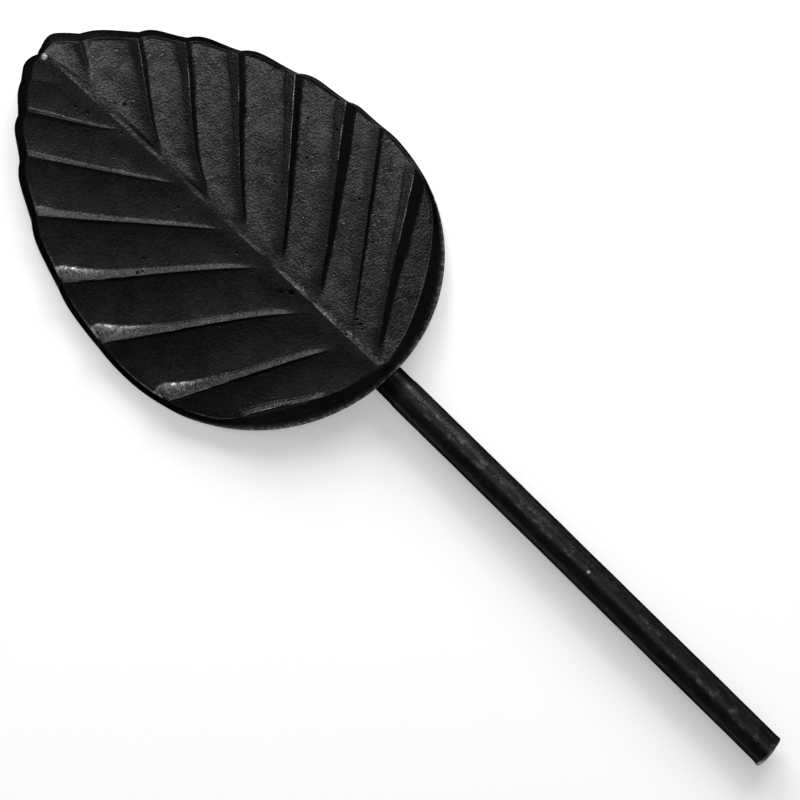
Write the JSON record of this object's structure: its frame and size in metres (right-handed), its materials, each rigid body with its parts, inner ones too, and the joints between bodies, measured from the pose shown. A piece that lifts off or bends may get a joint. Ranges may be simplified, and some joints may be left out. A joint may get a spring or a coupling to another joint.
{
  "type": "ornamental iron leaf",
  "caption": "Broad pointed leaf of black forged iron, with a raised midrib, ridged side veins and a thick rounded rim, welded to a plain round bar stem.",
  "frame": {"origin": "centre of the stem's cut end, on the bar's axis", "axes": "+Y along the stem from its cut end to the leaf's tip, +Z out of the leaf's front, +X to the right as seen from the front"},
  "size_m": [0.1263, 0.3506, 0.018],
  "materials": {
    "leaf_iron": "black satin over grainy forge scale, worn brighter on the vein crests and the midrib",
    "stem_steel": "smooth black satin round bar with a mottled sheen and a sheared end",
    "weld_metal": "rippled weld bead under the same black finish"
  },
  "bodies": {
    "root": {"leaf_blade": "leaf_iron", "stem_bar": "stem_steel", "weld_bead_left": "weld_metal", "weld_bead_right": "weld_metal"}
  },
  "joints": []
}
